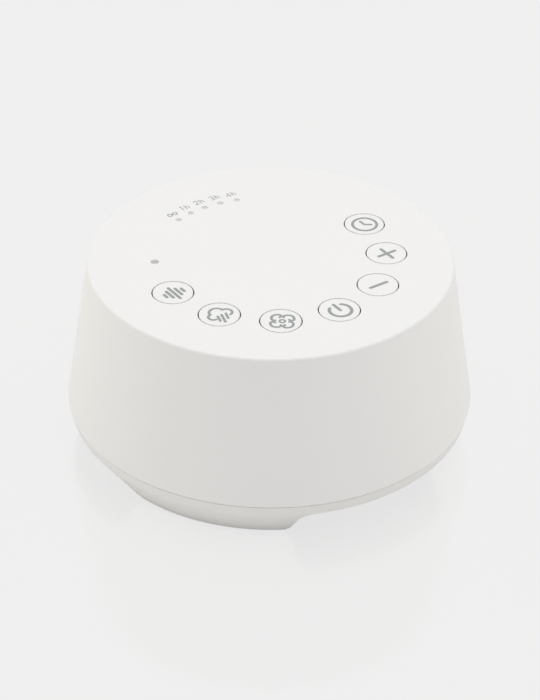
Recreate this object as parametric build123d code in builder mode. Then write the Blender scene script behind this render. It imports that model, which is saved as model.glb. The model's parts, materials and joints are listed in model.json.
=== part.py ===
"""Bedside white noise sound machine, as an assembly of separate pieces.

A conical housing sits on a shallow base with three arched feet. Seven push buttons stand on one ring in
the flat top, each over a tactile switch on the control board. A loudspeaker with a flat diaphragm faces
down through the base's grille, and its sound leaves between the feet.

Millimetres. The origin is on the table under the middle, +Z is up, and the front, -Y, has the power button.
"""

from build123d import *
import os
from math import cos, radians, sin, sqrt, tan

os.makedirs("parts", exist_ok=True)

# ---- Overall form -----------------------------------------------------------------------------------
seam_radius = 60.0  # widest circle, where the housing meets the base
housing_lean = 7.0  # how far the housing's side leans in over its height
housing_height = 45.3  # parting line to the flat top
base_height = 13.8  # table to the parting line
wall = 2.2
top_wall = 2.4
top_edge = 0.6
seam_gap = 0.25
seat_clearance = 0.1  # free play where one piece locates in another
small_sides = 8  # sides of small round holes, bosses and pegs
hidden_sides = 24  # sides of the round pieces shut up inside

# ---- Base and feet ----------------------------------------------------------------------------------
lip_height = 10.0  # table to the skirt's lower edge and the floor's underside
skirt_step = 0.2  # housing's lower edge to the skirt's upper edge
skirt_lean = 0.7
foot_lean = 6.6  # how far a foot's outer face leans in over its height
foot_width = 7.5  # at the table
foot_wall = 2.0
foot_count = 3
front_foot_turn = 5.6  # how far round each front foot stands from an even third, towards the front
gap_half = 25.5  # half the width of the arched gap between the front feet
side_gap_half = 32.5  # the same for the gap at each side
gap_crown_round = 3.0
toe_round = 2.0  # foot's lower corner beside a gap
toe_length = 4.0  # how much of the foot's underside the gap's outline takes in
floor_wall = 2.0
tongue_gap = 0.5
tongue_wall = 1.3
tongue_height = 2.5

pad_proud = 0.45
pad_inset = 0.8
pad_width = 4.6
pad_half_angle = 21.0
pad_end_play = 0.2  # degrees at each end of a pad's groove

# ---- Buttons and their switches ---------------------------------------------------------------------
button_functions = ["white_noise", "rain", "fan", "power", "volume_down", "volume_up", "timer"]
button_inset = 19.3  # flat top's edge to the buttons' middle
button_pitch = 30.0
button_radius = 5.8
button_gap = 0.3
button_travel = 0.5
button_roof = 2.0
button_rib = 1.4
lug_reach = 0.8  # how far the lugs under the collar go past the opening
lug_height = 0.9
lug_play = 0.12
post_width = 3.0
collar_wall = 1.7
collar_depth = 2.6

switch_side = 6.0
switch_case_height = 3.5
switch_stem_height = 1.5
stem_width = 2.8
stem_depth = 1.2
stem_clearance = 0.1

# ---- Timer windows and status light -----------------------------------------------------------------
window_count = 5
window_outset = 0.6  # how far the windows lie outside the buttons' ring
window_pitch = 8.85
window_radius = 0.95
status_inset = 0.2
status_angle = 150.0
status_radius = 1.25
guide_fit = 0.04
guide_recess = 0.3
status_recess = 0.9
guide_bar_inset = 0.8
guide_bar_end = 2.1  # outer windows' middle to the bar's end
guide_bar_width = 5.0
guide_bar_height = 1.2
guide_well = 3.4
status_flange = 4.0
status_pipe = 2.0
lamp_length = 2.0
lamp_width = 1.25
lamp_height = 0.8
lamp_gap = 0.3

# ---- Control board ----------------------------------------------------------------------------------
board_clearance = 0.7  # long bosses to the board
board_sides = 12
board_wall = 1.6
board_drop = 12.4  # flat top to the board's upper face
board_boss_inset = 2.7
board_boss_radius = 2.6
board_boss_count = 4
rib_depth = 3.0
rib_wall = 1.2
rib_ring = 14.0
rib_reach = 24.0
rib_count = 6
controller_side = 7.0
controller_height = 0.9
memory_length = 5.3
memory_width = 7.9
memory_height = 1.7
amplifier_side = 5.0
amplifier_height = 1.5
capacitor_radius = 3.15
capacitor_height = 7.0
chip_outset = 5.0  # magnet's side to the middle of the parts on the board's underside
chip_pitch = 12.0

# ---- Screws that hold the base ----------------------------------------------------------------------
boss_outset = 3.0  # feet's inner face to the long bosses' middle
boss_radius = 4.0
screw_radius = 1.4
screw_length = 14.0
screw_head_radius = 2.7
screw_head_height = 1.9
well_radius = 3.3
well_depth = 4.0
well_roof = 2.0
well_wall = 1.6
thread_play = 0.02

# ---- Power inlet ------------------------------------------------------------------------------------
port_height = 20.0  # table to the middle of the inlet
port_inset = 1.8  # widest circle to the flat floor of the recess round the inlet
port_recess_width = 14.0
port_recess_height = 7.6
port_width = 8.94
port_depth = 7.3
port_thick = 3.26
port_gap = 0.25
port_shell = 0.3
port_setback = 0.4
tongue_plate_width = 6.6
tongue_plate_height = 0.7
tongue_plate_setback = 0.8
socket_board_width = 19.0
socket_board_length = 14.0
socket_board_wall = 1.2
socket_board_setback = 2.0
socket_post_spacing = 14.0
socket_post_from_edge = 7.0
socket_post_side = 4.0

# ---- Loudspeaker, facing down -----------------------------------------------------------------------
speaker_fence_gap = 3.9  # battery's fence to the square flange
speaker_corner = 9.0
speaker_sheet = 0.8
speaker_flange = 4.5  # flange's side to its round opening
speaker_depth = 10.5
speaker_post_side = 5.0
speaker_post_inset = 1.4  # flange's cut corner to the post under it
rim_inset = 1.5
rim_wall = 2.0
rim_height = 2.2
gasket_wall = 0.8
frame_arm_width = 6.0
frame_arm_count = 4
frame_arm_sheet = 1.6
frame_arm_foot = 0.8  # flange's opening to the arms
frame_toe = 3.0  # how far the arms reach in under the magnet
frame_shoulder = 3.5  # flange's front to where the arms turn inward
magnet_inset = 8.1  # flange's round opening to the magnet's side
magnet_height = 9.0
magnet_gap_depth = 7.0
coil_share = 0.49  # coil's radius as a share of the magnet's
coil_wall = 0.6
coil_play = 0.6
coil_reach = 4.5  # how far the coil goes into the magnet's gap
surround_width = 1.8
diaphragm_wall = 0.8
surround_rise = 2.0
surround_sheet = 0.5
terminal_length = 10.0
terminal_width = 2.6
terminal_height = 4.0
terminal_inset = 2.5

# ---- Grille -----------------------------------------------------------------------------------------
grille_inset = 1.0
grille_slot = 2.4
grille_count = 9
cloth_clearance = 0.2
cloth_wall = 0.4

# ---- Battery ----------------------------------------------------------------------------------------
battery_angle = 30.0
battery_boss_gap = 10.6  # battery's middle to the long boss outside it
battery_length = 40.0
battery_thick = 6.0
battery_foam_top = 3.1
battery_corner = 1.5
cradle_gap = 0.8
cradle_wall = 1.2
cradle_height = 8.0
foam_length = 30.0
header_inset = 15.4  # battery's middle to its connector on the board
header_size = 6.0
header_height = 4.6
plug_length = 5.0
plug_height = 3.6

# ---- Flat leads inside ------------------------------------------------------------------------------
lead_wall = 0.9
lead_width = 3.0
lead_tab = 4.0

# ---- Worked out from the sizes above ----------------------------------------------------------------
front = -90.0
back = 90.0
first_button = 180.0
button_count = len(button_functions)
top_radius = seam_radius - housing_lean
skirt_radius = seam_radius - skirt_step
lip_radius = skirt_radius - skirt_lean
foot_radius = lip_radius - foot_lean
foot_inner_radius = foot_radius - foot_width
button_ring = top_radius - button_inset
window_ring = button_ring + window_outset
status_ring = button_ring - status_inset
guide_bar_ring = window_ring - guide_bar_inset
boss_ring = foot_inner_radius + boss_outset
board_apothem = boss_ring - boss_radius - board_clearance
board_boss_ring = board_apothem - board_boss_inset
port_face = seam_radius - port_inset
battery_offset = boss_ring - battery_boss_gap
header_offset = battery_offset - header_inset
seam_z = base_height
top_z = seam_z + housing_height
panel_z = top_z - top_wall
foot_z = pad_proud
floor_z = lip_height + floor_wall
skirt_z = seam_z - seam_gap
front_foot_angle = 360 / foot_count + front_foot_turn  # from the back, either way
foot_angles = [back, back + front_foot_angle, back - front_foot_angle]
side_gap_angle = front_foot_angle / 2
gaps = [(front, gap_half), (back + side_gap_angle, side_gap_half), (back - side_gap_angle, side_gap_half)]
opening_radius = button_radius + button_gap
board_z = top_z - board_drop
board_under = board_z - board_wall
stem_top = board_z + switch_case_height + switch_stem_height
lug_top = panel_z - collar_depth - lug_play
lug_bottom = lug_top - lug_height
bar_z = panel_z - guide_bar_height
well_seat = lip_height + well_depth
well_top = well_seat + well_roof
gasket_z = floor_z + rim_height
flange_z = gasket_z + gasket_wall
magnet_z = flange_z + speaker_depth
diaphragm_z = flange_z + surround_rise
fence_inner = battery_offset - battery_thick / 2 - cradle_gap - cradle_wall
speaker_side = 2 * (fence_inner - speaker_fence_gap)
speaker_hole = speaker_side / 2 - speaker_flange
speaker_post_ring = (speaker_side - speaker_corner) / sqrt(2) - speaker_post_inset - speaker_post_side / 2
rim_side = speaker_side - 2 * rim_inset
rim_inner = rim_side - 2 * rim_wall
cloth_side = rim_inner - 2 * cloth_clearance
cloth_corner = cloth_side - (speaker_post_ring - speaker_post_side / 2 - cloth_clearance) * sqrt(2)
grille_radius = speaker_hole - grille_inset
grille_step = 2 * grille_radius / (grille_count + 1)
magnet_radius = speaker_hole - magnet_inset
coil_radius = coil_share * magnet_radius
magnet_gap_outer = coil_radius + coil_play
magnet_gap_inner = coil_radius - coil_wall - coil_play
chip_offset = magnet_radius + chip_outset
diaphragm_radius = speaker_hole - surround_width
terminal_offset = speaker_hole + terminal_inset
window_half_sweep = window_pitch * (window_count - 1) / 2
guide_bar_length = 2 * window_ring * sin(radians(window_half_sweep)) + 2 * guide_bar_end
arm_inner = speaker_hole + frame_arm_foot
speaker_angle = battery_angle  # the square flange has a flat side to the battery
terminal_angle = speaker_angle + 180
socket_top_z = port_height - port_thick / 2
socket_front = port_face - port_setback - socket_board_setback
socket_back = socket_front - socket_board_length
battery_inner = battery_offset - battery_thick / 2
battery_top = board_under - battery_foam_top


def housing_radius(height):
    """Outer radius of the conical housing at this height above the table."""
    return seam_radius - (seam_radius - top_radius) * (height - seam_z) / housing_height


def foot_outer(height):
    """Outer radius of a foot at this height."""
    return foot_radius + (lip_radius - foot_radius) * height / lip_height


tongue_radius = housing_radius(seam_z + tongue_height) - wall - seat_clearance
tongue_inner = tongue_radius - tongue_wall
tongue_z = seam_z + tongue_height
gusset_z = tongue_z + tongue_gap
pad_ring = (foot_inner_radius + foot_outer(foot_z)) / 2


def direction(angle):
    """Unit vector that points outward at this angle about the axis."""
    return Vector(cos(radians(angle)), sin(radians(angle)), 0)


def radial_plane(angle):
    """Upright plane through the axis: x runs outward at this angle, y up."""
    return Plane(origin=(0, 0, 0), x_dir=direction(angle), z_dir=direction(angle - 90))


def facing_plane(angle, distance):
    """Upright plane that faces outward at this distance from the axis, y up."""
    return Plane(origin=direction(angle) * distance, x_dir=direction(angle + 90), z_dir=direction(angle))


def level_plane(angle, distance, height):
    """Level plane at a place given by angle, distance and height: x runs outward."""
    origin = direction(angle) * distance + Vector(0, 0, height)
    return Plane(origin=origin, x_dir=direction(angle), z_dir=(0, 0, 1))


def button_places():
    """Where the seven buttons stand on their ring."""
    sweep = button_pitch * (button_count - 1)
    return PolarLocations(button_ring, button_count, first_button, sweep, endpoint=True)


def window_places():
    """Where the timer windows stand, centred on the back."""
    start = back - window_half_sweep
    sweep = 2 * window_half_sweep
    return PolarLocations(window_ring, window_count, start, sweep, rotate=False, endpoint=True)


def boss_places():
    """Where the three long screws stand, one in each gap between feet."""
    return PolarLocations(boss_ring, foot_count, front)


def board_boss_places():
    """Where the board's short bosses stand."""
    return PolarLocations(board_boss_ring, board_boss_count, 180 / board_boss_count)


def small_round(radius):
    """Face of a small round feature, with straight sides."""
    RegularPolygon(radius, small_sides, rotation=180 / small_sides)


def hidden_round(radius, mode=Mode.ADD):
    """Face of a round piece inside the housing, with straight sides."""
    RegularPolygon(radius, hidden_sides, rotation=180 / hidden_sides, mode=mode)


def cut_square(side, corner, mode=Mode.ADD):
    """Face of a square with its corners cut."""
    half = side / 2
    with BuildLine() as outline:
        Polyline(
            (half, corner - half),
            (half, half - corner),
            (half - corner, half),
            (corner - half, half),
            (-half, half - corner),
            (-half, corner - half),
            (corner - half, -half),
            (half - corner, -half),
            close=True,
        )
    make_face(outline.edges(), mode=mode)


def ring_segment(inner, outer, half_angle):
    """Face of a flat ring's segment, centred on the sketch's x axis."""
    with BuildLine() as outline:
        near = CenterArc((0, 0), inner, -half_angle, 2 * half_angle)
        far = CenterArc((0, 0), outer, -half_angle, 2 * half_angle)
        Line(near @ 0, far @ 0)
        Line(near @ 1, far @ 1)
    make_face(outline.edges())


def write(piece, name):
    """Label a finished piece and write its STEP file."""
    piece.part.label = name
    export_step(piece.part, f"parts/{name}.step")


# ---- Housing ----------------------------------------------------------------------------------------
with BuildPart() as top_housing:
    with BuildSketch(Plane.XZ):
        with BuildLine():
            Polyline(
                (0, top_z),
                (top_radius - top_edge, top_z),
                (housing_radius(top_z - top_edge), top_z - top_edge),
                (seam_radius, seam_z),
                (seam_radius - wall, seam_z),
                (housing_radius(panel_z) - wall, panel_z),
                (0, panel_z),
                close=True,
            )
        make_face()
    revolve(axis=Axis.Z)
    # collars that guide the buttons, under the flat top
    with BuildSketch(Plane.XY.offset(panel_z)):
        with button_places():
            small_round(opening_radius + collar_wall)
    extrude(amount=-collar_depth)
    # spokes that stiffen the flat top
    with BuildSketch(Plane.XY.offset(panel_z)):
        with PolarLocations((rib_ring + rib_reach) / 2, rib_count, front + 180 / rib_count):
            Rectangle(rib_reach - rib_ring, rib_wall)
    extrude(amount=-rib_depth)
    # short bosses for the board, long bosses for the base
    with BuildSketch(Plane.XY.offset(panel_z)):
        with board_boss_places():
            small_round(board_boss_radius)
    extrude(amount=board_z - panel_z)
    with BuildSketch(Plane.XY.offset(panel_z)):
        with boss_places():
            small_round(boss_radius)
    extrude(amount=well_top - panel_z)
    # gussets that tie the long bosses to the wall
    for index in range(foot_count):
        with BuildSketch(radial_plane(front + index * 360 / foot_count)):
            with BuildLine():
                Polyline(
                    (boss_ring, gusset_z),
                    (housing_radius(gusset_z) - wall / 2, gusset_z),
                    (housing_radius(panel_z) - wall / 2, panel_z),
                    (boss_ring, panel_z),
                    close=True,
                )
            make_face()
        extrude(amount=rib_wall / 2, both=True)
    # button openings, timer windows and the status hole
    with BuildSketch(Plane.XY.offset(top_z)):
        with button_places():
            Circle(opening_radius)
    extrude(amount=-top_wall - collar_depth, mode=Mode.SUBTRACT)
    with BuildSketch(Plane.XY.offset(top_z)):
        with window_places():
            small_round(window_radius)
        with PolarLocations(status_ring, 1, status_angle):
            small_round(status_radius)
    extrude(amount=-top_wall, mode=Mode.SUBTRACT)
    # screw holes in the long bosses
    with BuildSketch(Plane.XY.offset(well_top)):
        with boss_places():
            small_round(screw_radius + thread_play)
    extrude(amount=screw_length, mode=Mode.SUBTRACT)
    # flat recess and slot for the power inlet
    with BuildSketch(facing_plane(back, port_face)):
        with Locations((0, port_height)):
            SlotOverall(port_recess_width, port_recess_height)
    extrude(amount=seam_radius, mode=Mode.SUBTRACT)
    with BuildSketch(facing_plane(back, port_face)):
        with Locations((0, port_height)):
            SlotOverall(port_width + 2 * port_gap, port_thick + 2 * port_gap)
    extrude(amount=-2 * wall, mode=Mode.SUBTRACT)
write(top_housing, "top_housing")


# ---- Base with its three feet -----------------------------------------------------------------------
pocket_z = foot_z + foot_wall
foot_slant = (lip_radius - foot_radius) / lip_height
slanted_wall = foot_wall * sqrt(1 + foot_slant**2)
pocket_bend = (tongue_inner + slanted_wall - foot_radius) / foot_slant
with BuildPart() as foot_pockets:
    with BuildSketch(Plane.XZ):
        with BuildLine():
            Polyline(
                (foot_inner_radius + foot_wall, pocket_z),
                (foot_outer(pocket_z) - slanted_wall, pocket_z),
                (tongue_inner, pocket_bend),
                (tongue_inner, floor_z),
                (foot_inner_radius + foot_wall, floor_z),
                close=True,
            )
        make_face()
    revolve(axis=Axis.Z)
    for angle, half in gaps:
        with BuildSketch(facing_plane(angle, 0)):
            with Locations((0, lip_height)):
                Rectangle(2 * (half + foot_wall), 2 * lip_height)
        extrude(amount=seam_radius, mode=Mode.SUBTRACT)

with BuildPart() as base:
    with BuildSketch(Plane.XZ):
        with BuildLine():
            Polyline(
                (0, lip_height),
                (foot_inner_radius, lip_height),
                (foot_inner_radius, foot_z),
                (foot_outer(foot_z), foot_z),
                (lip_radius, lip_height),
                (skirt_radius, skirt_z),
                (tongue_radius, skirt_z),
                (tongue_radius, tongue_z),
                (tongue_inner, tongue_z),
                (tongue_inner, floor_z),
                (0, floor_z),
                close=True,
            )
        make_face()
    revolve(axis=Axis.Z)
    add(foot_pockets.part, mode=Mode.SUBTRACT)
    # arched gaps between the feet, for the sound
    for angle, half in gaps:
        with BuildSketch(facing_plane(angle, 0)) as arch:
            with BuildLine():
                Polyline(
                    (-half - toe_length, -lip_height),
                    (-half - toe_length, foot_z),
                    (-half, foot_z),
                    (-half, lip_height),
                    (half, lip_height),
                    (half, foot_z),
                    (half + toe_length, foot_z),
                    (half + toe_length, -lip_height),
                    close=True,
                )
            make_face()
            fillet(arch.vertices().group_by(Axis.Y)[1].sort_by(Axis.X)[1:3], toe_round)
            fillet(arch.vertices().group_by(Axis.Y)[-1], gap_crown_round)
        extrude(amount=2 * seam_radius, mode=Mode.SUBTRACT)
    # grooves for the rubber pads
    for angle in foot_angles:
        with BuildSketch(level_plane(angle, 0, foot_z)):
            inner = pad_ring - pad_width / 2 - seat_clearance
            outer = pad_ring + pad_width / 2 + seat_clearance
            ring_segment(inner, outer, pad_half_angle)
        extrude(amount=pad_inset, mode=Mode.SUBTRACT)
    # wells that hold the screw heads
    with BuildSketch(Plane.XY.offset(floor_z)):
        with boss_places():
            small_round(well_radius + well_wall)
    extrude(amount=well_top - floor_z)
    with BuildSketch(Plane.XY.offset(lip_height)):
        with boss_places():
            small_round(well_radius)
    extrude(amount=well_depth, mode=Mode.SUBTRACT)
    with BuildSketch(Plane.XY.offset(well_seat)):
        with boss_places():
            small_round(screw_radius + seat_clearance)
    extrude(amount=well_roof, mode=Mode.SUBTRACT)
    # rim and corner posts that carry the loudspeaker
    with BuildSketch(level_plane(speaker_angle, 0, floor_z)):
        cut_square(rim_side, speaker_corner)
        cut_square(rim_inner, speaker_corner, mode=Mode.SUBTRACT)
        with PolarLocations(speaker_post_ring, frame_arm_count, 180 / frame_arm_count):
            Rectangle(speaker_post_side, speaker_post_side)
    extrude(amount=rim_height)
    # speaker grille: straight slots inside a circle
    with BuildSketch(Plane.XY.offset(lip_height)):
        with GridLocations(grille_step, 0, grille_count, 1):
            Rectangle(grille_slot, 2 * grille_radius)
        Circle(grille_radius, mode=Mode.INTERSECT)
    extrude(amount=floor_wall, mode=Mode.SUBTRACT)
    # fence that the battery stands in
    cradle_width = battery_thick + 2 * cradle_gap
    with BuildSketch(level_plane(battery_angle, battery_offset, floor_z)):
        Rectangle(cradle_width + 2 * cradle_wall, battery_length + 2 * cradle_wall + 2 * seat_clearance)
        Rectangle(cradle_width, battery_length + 2 * seat_clearance, mode=Mode.SUBTRACT)
    extrude(amount=cradle_height)
    # posts for the inlet's board, up from the rear foot
    post_z = foot_z + foot_wall / 2
    with BuildSketch(level_plane(back, socket_front - socket_post_from_edge, post_z)):
        with Locations((0, socket_post_spacing / 2), (0, -socket_post_spacing / 2)):
            Rectangle(socket_post_side, socket_post_side)
    extrude(amount=socket_top_z - socket_board_wall - post_z)
write(base, "base")

with BuildPart() as foot_pads:
    for angle in foot_angles:
        with BuildSketch(level_plane(angle, 0, 0)):
            ring_segment(pad_ring - pad_width / 2, pad_ring + pad_width / 2, pad_half_angle - pad_end_play)
        extrude(amount=foot_z + pad_inset)
write(foot_pads, "foot_pads")

with BuildPart() as housing_screws:
    with BuildSketch(Plane.XY.offset(well_seat)):
        with boss_places():
            small_round(screw_head_radius)
    extrude(amount=-screw_head_height)
    with BuildSketch(Plane.XY.offset(well_seat)):
        with boss_places():
            small_round(screw_radius)
    extrude(amount=screw_length)
write(housing_screws, "housing_screws")

# ---- Control board and what it carries --------------------------------------------------------------
with BuildPart() as control_board:
    with BuildSketch(Plane.XY.offset(board_under)):
        RegularPolygon(board_apothem, board_sides, major_radius=False, rotation=180 / board_sides)
    extrude(amount=board_wall)
write(control_board, "control_board")

with BuildPart() as switch_bodies:
    with BuildSketch(Plane.XY.offset(board_z)):
        with button_places():
            Rectangle(switch_side, switch_side)
    extrude(amount=switch_case_height)
    with BuildSketch(Plane.XY.offset(board_z + switch_case_height)):
        with button_places():
            Rectangle(stem_width + 2 * stem_clearance, stem_width + 2 * stem_clearance)
    extrude(amount=-stem_depth - button_travel - stem_clearance, mode=Mode.SUBTRACT)
write(switch_bodies, "switch_bodies")

for index, function in enumerate(button_functions):
    place = level_plane(first_button + index * button_pitch, button_ring, 0)
    with BuildPart() as button:
        with BuildSketch(place.offset(top_z)):
            Circle(button_radius)
        extrude(amount=-button_roof)
        # crossed ribs that slide in the collar, with lugs that stop under it
        with BuildSketch(place.offset(lug_bottom)):
            Rectangle(2 * (button_radius - seat_clearance), button_rib)
            Rectangle(button_rib, 2 * (button_radius - seat_clearance))
        extrude(amount=top_z - button_roof - lug_bottom)
        with BuildSketch(place.offset(lug_bottom)):
            Rectangle(2 * (opening_radius + lug_reach), button_rib)
        extrude(amount=lug_height)
        with BuildSketch(place.offset(stem_top)):
            Rectangle(post_width, post_width)
        extrude(amount=top_z - button_roof - stem_top)
    write(button, f"button_{function}")

    with BuildPart() as stem:
        with BuildSketch(place.offset(board_z + switch_case_height - stem_depth)):
            Rectangle(stem_width, stem_width)
        extrude(amount=stem_depth + switch_stem_height)
    write(stem, f"stem_{function}")

with BuildPart() as timer_light_guide:
    with BuildSketch(level_plane(back, guide_bar_ring, bar_z)):
        Rectangle(guide_bar_width, guide_bar_length)
    extrude(amount=guide_bar_height)
    with BuildSketch(Plane.XY.offset(panel_z)):
        with window_places():
            small_round(window_radius - guide_fit)
    extrude(amount=top_wall - guide_recess)
write(timer_light_guide, "timer_light_guide")

with BuildPart() as light_shroud:
    with BuildSketch(level_plane(back, guide_bar_ring, board_z)):
        Rectangle(guide_bar_width, guide_bar_length)
    extrude(amount=bar_z - board_z)
    with BuildSketch(Plane.XY.offset(board_z)):
        with window_places():
            Rectangle(guide_well, lamp_width + 2 * lamp_gap)
    extrude(amount=bar_z - board_z, mode=Mode.SUBTRACT)
write(light_shroud, "light_shroud")

with BuildPart() as timer_leds:
    with BuildSketch(Plane.XY.offset(board_z)):
        with window_places():
            Rectangle(lamp_length, lamp_width)
    extrude(amount=lamp_height)
write(timer_leds, "timer_leds")

with BuildPart() as status_light_guide:
    with BuildSketch(level_plane(status_angle, status_ring, panel_z)):
        small_round(status_radius - guide_fit)
    extrude(amount=top_wall - status_recess)
    with BuildSketch(level_plane(status_angle, status_ring, bar_z)):
        Rectangle(status_flange, status_flange)
    extrude(amount=guide_bar_height)
    with BuildSketch(level_plane(status_angle, status_ring, board_z + lamp_height + lamp_gap)):
        Rectangle(status_pipe, status_pipe)
    extrude(amount=bar_z - board_z - lamp_height - lamp_gap)
write(status_light_guide, "status_light_guide")

with BuildPart() as status_led:
    with BuildSketch(level_plane(status_angle, status_ring, board_z)):
        Rectangle(lamp_length, lamp_width)
    extrude(amount=lamp_height)
write(status_led, "status_led")

with BuildPart() as controller_chip:
    with BuildSketch(Plane.XY.offset(board_under)):
        with Locations((-chip_offset, 0)):
            Rectangle(controller_side, controller_side)
    extrude(amount=-controller_height)
write(controller_chip, "controller_chip")

with BuildPart() as sound_memory_chip:
    with BuildSketch(Plane.XY.offset(board_under)):
        with Locations((-chip_offset, chip_pitch)):
            Rectangle(memory_length, memory_width)
    extrude(amount=-memory_height)
write(sound_memory_chip, "sound_memory_chip")

with BuildPart() as amplifier_chip:
    with BuildSketch(Plane.XY.offset(board_under)):
        with Locations((0, chip_offset)):
            Rectangle(amplifier_side, amplifier_side)
    extrude(amount=-amplifier_height)
write(amplifier_chip, "amplifier_chip")

with BuildPart() as board_capacitor:
    with BuildSketch(Plane.XY.offset(board_under)):
        with Locations((0, -chip_offset)):
            hidden_round(capacitor_radius)
    extrude(amount=-capacitor_height)
write(board_capacitor, "board_capacitor")

# ---- Power inlet ------------------------------------------------------------------------------------
with BuildPart() as usb_socket:
    with BuildSketch(facing_plane(back, port_face - port_setback)):
        with Locations((0, port_height)):
            SlotOverall(port_width, port_thick)
    extrude(amount=-port_depth)
    with BuildSketch(facing_plane(back, port_face - port_setback)):
        with Locations((0, port_height)):
            SlotOverall(port_width - 2 * port_shell, port_thick - 2 * port_shell)
    extrude(amount=port_shell - port_depth, mode=Mode.SUBTRACT)
write(usb_socket, "usb_socket")

with BuildPart() as usb_tongue:
    with BuildSketch(facing_plane(back, port_face - port_setback - port_depth + port_shell)):
        with Locations((0, port_height)):
            Rectangle(tongue_plate_width, tongue_plate_height)
    extrude(amount=port_depth - port_shell - tongue_plate_setback)
write(usb_tongue, "usb_tongue")

with BuildPart() as socket_board:
    with BuildSketch(level_plane(back, socket_front - socket_board_length / 2, socket_top_z)):
        Rectangle(socket_board_length, socket_board_width)
    extrude(amount=-socket_board_wall)
write(socket_board, "socket_board")

# ---- Loudspeaker ------------------------------------------------------------------------------------
with BuildPart() as speaker_gasket:
    with BuildSketch(level_plane(speaker_angle, 0, gasket_z)):
        cut_square(speaker_side, speaker_corner)
        cut_square(rim_inner, speaker_corner, mode=Mode.SUBTRACT)
    extrude(amount=gasket_wall)
write(speaker_gasket, "speaker_gasket")

with BuildPart() as speaker_frame:
    with BuildSketch(level_plane(speaker_angle, 0, flange_z)):
        cut_square(speaker_side, speaker_corner)
        hidden_round(speaker_hole, mode=Mode.SUBTRACT)
    extrude(amount=speaker_sheet)
    # arms up from the flange's corners, turned in under the magnet
    for index in range(frame_arm_count):
        with BuildSketch(radial_plane(speaker_angle + (index + 0.5) * 360 / frame_arm_count)):
            with BuildLine():
                Polyline(
                    (arm_inner, flange_z + speaker_sheet),
                    (arm_inner + frame_arm_sheet, flange_z + speaker_sheet),
                    (arm_inner + frame_arm_sheet, flange_z + frame_shoulder + frame_arm_sheet),
                    (magnet_radius, magnet_z),
                    (magnet_radius - frame_toe, magnet_z),
                    (magnet_radius - frame_toe, magnet_z - frame_arm_sheet),
                    (arm_inner, flange_z + frame_shoulder),
                    close=True,
                )
            make_face()
        extrude(amount=frame_arm_width / 2, both=True)
write(speaker_frame, "speaker_frame")

with BuildPart() as speaker_magnet:
    with BuildSketch(level_plane(speaker_angle, 0, magnet_z)):
        hidden_round(magnet_radius)
    extrude(amount=magnet_height)
    with BuildSketch(level_plane(speaker_angle, 0, magnet_z)):
        hidden_round(magnet_gap_outer)
        hidden_round(magnet_gap_inner, mode=Mode.SUBTRACT)
    extrude(amount=magnet_gap_depth, mode=Mode.SUBTRACT)
write(speaker_magnet, "speaker_magnet")

# flat diaphragm with its voice coil, and the flexing ring that hangs it in the flange
diaphragm_back = diaphragm_z + diaphragm_wall
with BuildPart() as speaker_diaphragm:
    with BuildSketch(level_plane(speaker_angle, 0, diaphragm_z)):
        hidden_round(diaphragm_radius)
    extrude(amount=diaphragm_wall)
    with BuildSketch(level_plane(speaker_angle, 0, diaphragm_back)):
        hidden_round(coil_radius)
        hidden_round(coil_radius - coil_wall, mode=Mode.SUBTRACT)
    extrude(amount=magnet_z + coil_reach - diaphragm_back)
write(speaker_diaphragm, "speaker_diaphragm")

with BuildPart() as speaker_surround:
    with BuildSketch(level_plane(speaker_angle, 0, flange_z)):
        hidden_round(speaker_hole)
    extrude(amount=surround_sheet)
    with BuildSketch(level_plane(speaker_angle, 0, flange_z + surround_sheet)):
        hidden_round(speaker_hole)
    with BuildSketch(level_plane(speaker_angle, 0, diaphragm_back)):
        hidden_round(diaphragm_radius)
    loft()
    with BuildSketch(level_plane(speaker_angle, 0, flange_z)):
        hidden_round(speaker_hole)
    with BuildSketch(level_plane(speaker_angle, 0, diaphragm_back - surround_sheet)):
        hidden_round(diaphragm_radius)
    loft(mode=Mode.SUBTRACT)
    with BuildSketch(level_plane(speaker_angle, 0, diaphragm_back - surround_sheet)):
        hidden_round(diaphragm_radius)
    extrude(amount=surround_sheet, mode=Mode.SUBTRACT)
write(speaker_surround, "speaker_surround")

with BuildPart() as speaker_terminals:
    with BuildSketch(level_plane(terminal_angle, terminal_offset, flange_z + speaker_sheet)):
        Rectangle(terminal_width, terminal_length)
    extrude(amount=terminal_height)
write(speaker_terminals, "speaker_terminals")

with BuildPart() as grille_cloth:
    with BuildSketch(level_plane(speaker_angle, 0, floor_z)):
        cut_square(cloth_side, cloth_corner)
    extrude(amount=cloth_wall)
write(grille_cloth, "grille_cloth")

# ---- Battery ----------------------------------------------------------------------------------------
with BuildPart() as battery_pack:
    with BuildSketch(level_plane(battery_angle, battery_offset, floor_z)):
        RectangleRounded(battery_thick, battery_length, battery_corner)
    extrude(amount=battery_top - floor_z)
write(battery_pack, "battery_pack")

with BuildPart() as battery_foam:
    with BuildSketch(level_plane(battery_angle, battery_offset, floor_z)):
        Rectangle(battery_thick + 2 * cradle_gap, foam_length)
        Rectangle(battery_thick, foam_length, mode=Mode.SUBTRACT)
    extrude(amount=cradle_height)
    with BuildSketch(level_plane(battery_angle, battery_offset, battery_top)):
        Rectangle(battery_thick, foam_length)
    extrude(amount=board_under - battery_top)
write(battery_foam, "battery_foam")

with BuildPart() as battery_header:
    with BuildSketch(level_plane(battery_angle, header_offset, board_under)):
        Rectangle(header_size, header_size)
    extrude(amount=-header_height)
write(battery_header, "battery_header")

plug_inner = header_offset + header_size / 2
plug_outer = plug_inner + plug_length
plug_z = board_under - header_height
with BuildPart() as battery_plug:
    with BuildSketch(level_plane(battery_angle, plug_inner + plug_length / 2, plug_z)):
        Rectangle(plug_length, header_size)
    extrude(amount=plug_height)
write(battery_plug, "battery_plug")

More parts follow.
